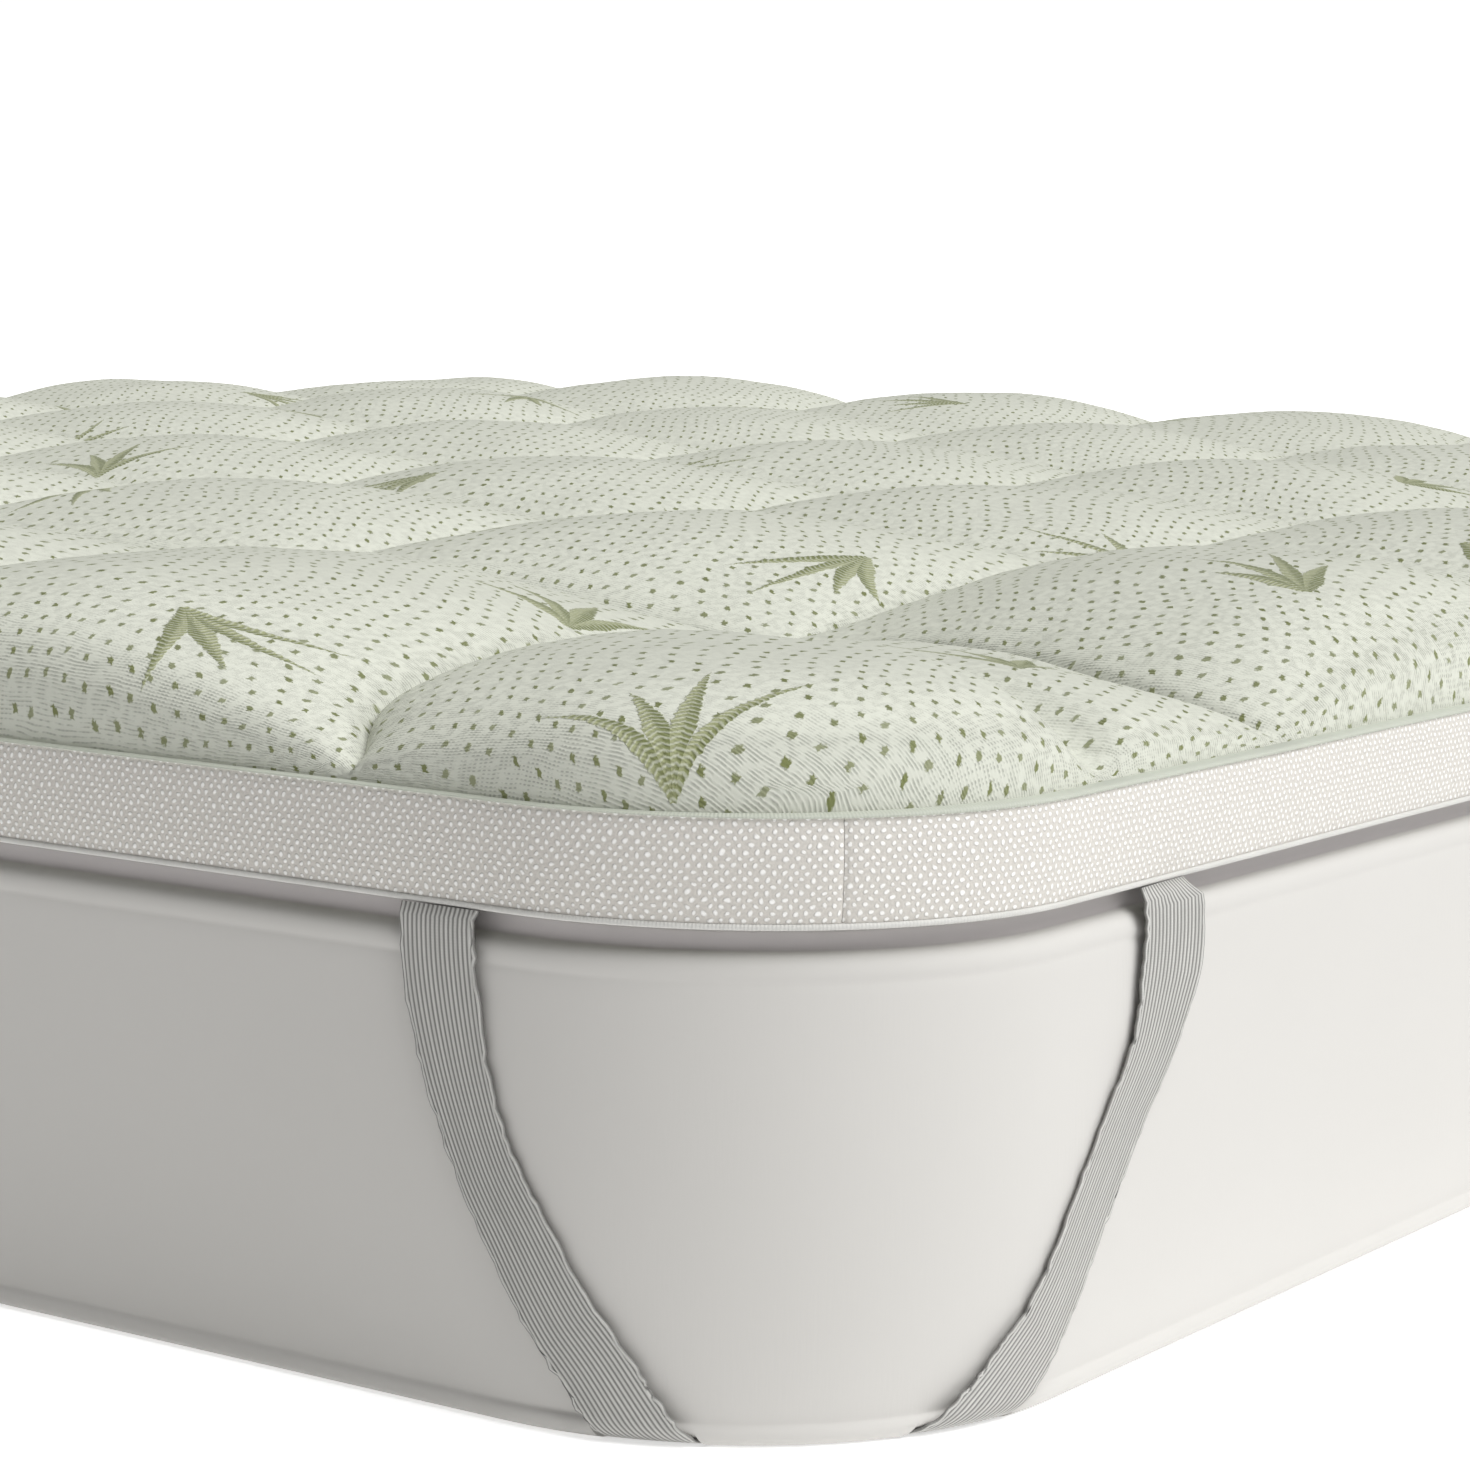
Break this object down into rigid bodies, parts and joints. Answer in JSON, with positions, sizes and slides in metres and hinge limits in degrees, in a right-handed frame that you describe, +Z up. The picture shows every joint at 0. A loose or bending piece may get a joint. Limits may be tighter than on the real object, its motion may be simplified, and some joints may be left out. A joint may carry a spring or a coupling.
{
  "type": "mattress topper on a mattress",
  "caption": "Quilted pillow-top mattress topper with a spacer-mesh border, held by elastic corner straps that run down and under the corners of a plain mattress",
  "frame": {"origin": "middle of the mattress's flat base", "axes": "+X across the width, +Y along the length, +Z up"},
  "size_m": [1.8238, 2.0114, 0.2819],
  "materials": {
    "quilted_body": "quilted knit, matt",
    "border_strip": "spacer mesh, matt",
    "top_tape": "woven tape, matt",
    "bottom_tape": "woven tape, matt",
    "corner_strap": "ribbed elastic, matt",
    "mattress": "smooth knit, matt"
  },
  "bodies": {
    "root": {"quilted_body": "quilted_body", "border_strip": "border_strip", "top_tape": "top_tape", "bottom_tape": "bottom_tape", "mattress": "mattress", "strap_front_right": "corner_strap", "strap_back_right": "corner_strap", "strap_back_left": "corner_strap", "strap_front_left": "corner_strap"}
  },
  "joints": []
}
